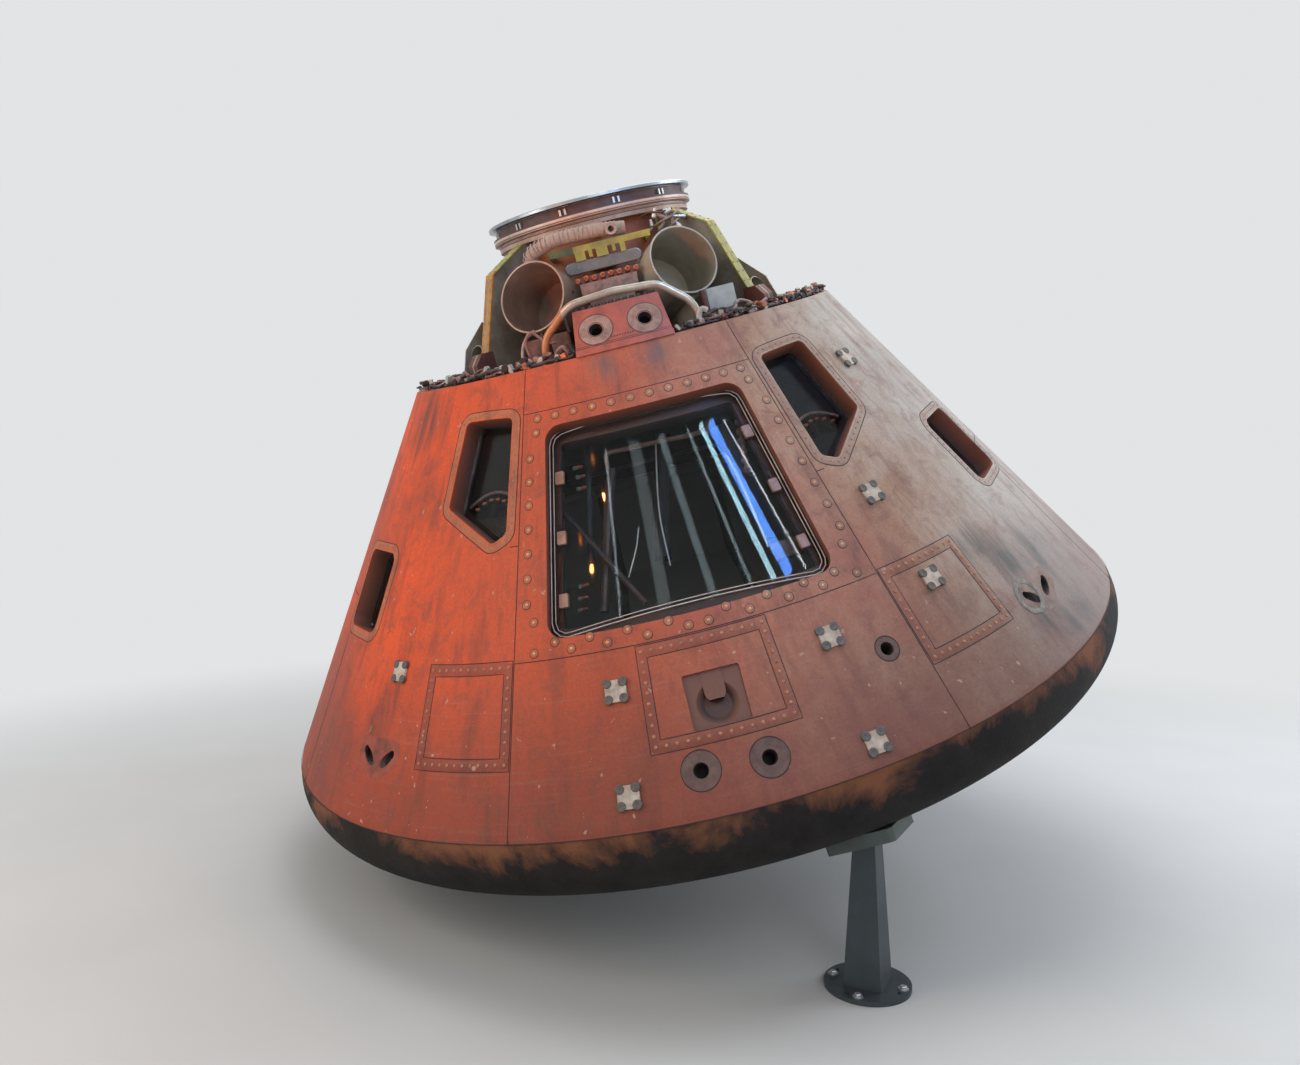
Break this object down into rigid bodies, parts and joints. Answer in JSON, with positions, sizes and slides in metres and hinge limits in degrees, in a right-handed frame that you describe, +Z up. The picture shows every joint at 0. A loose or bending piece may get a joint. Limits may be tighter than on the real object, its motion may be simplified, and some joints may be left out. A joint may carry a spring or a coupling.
{
  "type": "crew re-entry capsule on a display stand",
  "caption": "Cone-shaped crew re-entry capsule with scorched heat shield, open hatch behind clear cover and bare parachute deck, leaning on display posts.",
  "frame": {"origin": "on the floor, straight below the centre of the capsule's widest circle, which is the middle of the overall box", "axes": "+Z up, -Y the side with the hatch, where the picture is taken from, +X to the right in the picture"},
  "size_m": [3.8089, 3.8492, 3.1852],
  "materials": {
    "ablator": "scorched ablator, matt, orange brown",
    "char": "charred ablator, matt, black brown",
    "acrylic": "clear acrylic sheet",
    "pane": "grey window glass",
    "port_ring": "sooty nozzle liner",
    "pad": "pale painted pads",
    "cabin_metal": "bare alloy",
    "cabin_grey": "grey paint",
    "tunnel_paint": "red brown primer",
    "band_tan": "tan pink flange",
    "ring_metal": "bright alloy",
    "latch_metal": "plain steel",
    "web_grey": "grey green paint with yellow edge strips",
    "can_metal": "dull alloy",
    "thruster_red": "red paint",
    "tube_metal": "stained tube",
    "comb_yellow": "yellow green primer",
    "plate_grey": "grey paint",
    "manifold_metal": "tarnished fittings",
    "duct_cloth": "wrapped duct",
    "box_silver": "silver grey",
    "box_tan": "tan pink paint",
    "relay_red": "dark red paint",
    "connector_white": "off white plastic",
    "couch_cloth": "beta cloth couch",
    "console_grey": "grey console",
    "post_green": "dark green grey paint",
    "saddle_green": "grey green pad"
  },
  "bodies": {
    "root": {"aft_heat_shield": "char", "shield_left": "ablator", "shield_right": "ablator", "shield_rear": "ablator", "shield_front_lower": "ablator", "shield_front_upper": "ablator", "hatch_frame": "ablator", "hatch_cover": "acrylic", "hatch_clips": "latch_metal", "window_frame_left": "ablator", "window_frame_right": "ablator", "side_window_frame_left": "ablator", "side_window_frame_right": "ablator", "window_panes": "pane", "side_window_panes": "pane", "access_panel_left": "ablator", "access_panel_right": "ablator", "vent_panel": "ablator", "port_liners": "port_ring", "strut_pads": "pad", "cabin_floor": "cabin_metal", "cabin_wall": "cabin_grey", "forward_deck": "cabin_grey", "tunnel": "tunnel_paint", "tunnel_hatch": "cabin_grey", "tunnel_flange": "band_tan", "docking_ring": "ring_metal", "ring_latches": "latch_metal", "gusset_front_left": "web_grey", "gusset_front_right": "web_grey", "gusset_rear_left": "web_grey", "gusset_rear_right": "web_grey", "mortar_can_left": "can_metal", "mortar_can_right": "can_metal", "thruster_plate": "thruster_red", "thruster_rings": "port_ring", "guard_tube": "tube_metal", "comb_bracket": "comb_yellow", "stadium_plate": "plate_grey", "manifold": "manifold_metal", "deck_box": "box_silver", "air_duct": "duct_cloth", "pilot_mortars": "can_metal", "junction_boxes": "box_tan", "relay_block": "relay_red", "connector_box": "connector_white", "couch_left": "couch_cloth", "couch_centre": "couch_cloth", "couch_right": "couch_cloth", "couch_frame": "cabin_metal", "couch_struts": "cabin_metal", "console": "console_grey", "equipment_bay": "console_grey", "stand_post_front": "post_green", "stand_post_right": "post_green", "stand_post_left": "post_green", "stand_saddles": "saddle_green"}
  },
  "joints": []
}
